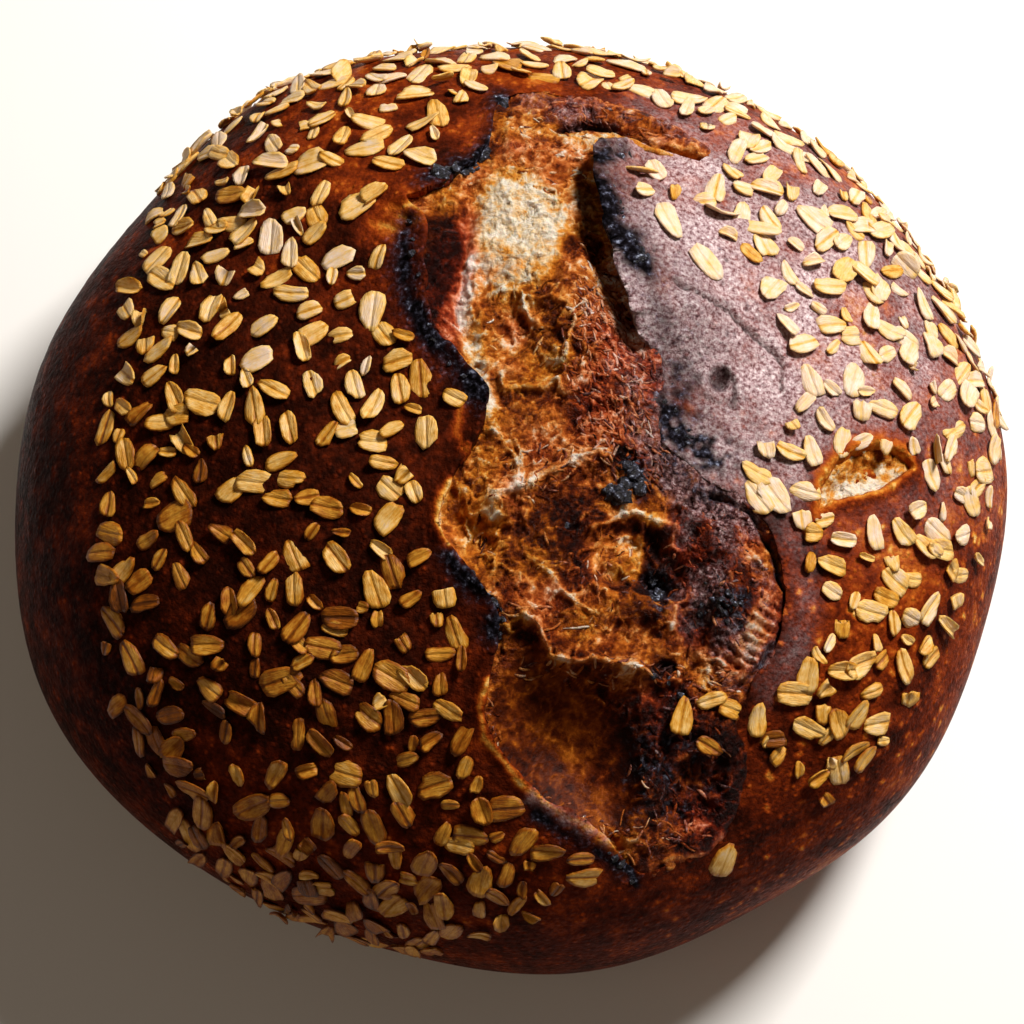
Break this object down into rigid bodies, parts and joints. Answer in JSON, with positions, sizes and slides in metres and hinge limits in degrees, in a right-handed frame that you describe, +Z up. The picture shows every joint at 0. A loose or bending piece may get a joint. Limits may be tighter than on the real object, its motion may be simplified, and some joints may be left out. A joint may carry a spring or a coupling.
{
  "type": "oat sourdough bread",
  "caption": "Round crusty sourdough loaf with a flat base, rolled oats baked into the domed top, and one long burst score with charred curled lips and torn crumb.",
  "frame": {"origin": "middle of the flat base, on the surface the loaf rests on", "axes": "+Z up through the dome, +Y to the back of the loaf, where the ear of the burst score stands, +X to the right seen from the front"},
  "size_m": [0.25, 0.2395, 0.1202],
  "materials": {
    "crust": "dark baked bread crust, satin with fine blisters",
    "crumb": "torn toasted bread crumb, matt with glazed bubble skins",
    "oats": "toasted rolled oat flakes, matt"
  },
  "bodies": {
    "root": {"loaf": "crust"}
  },
  "joints": []
}
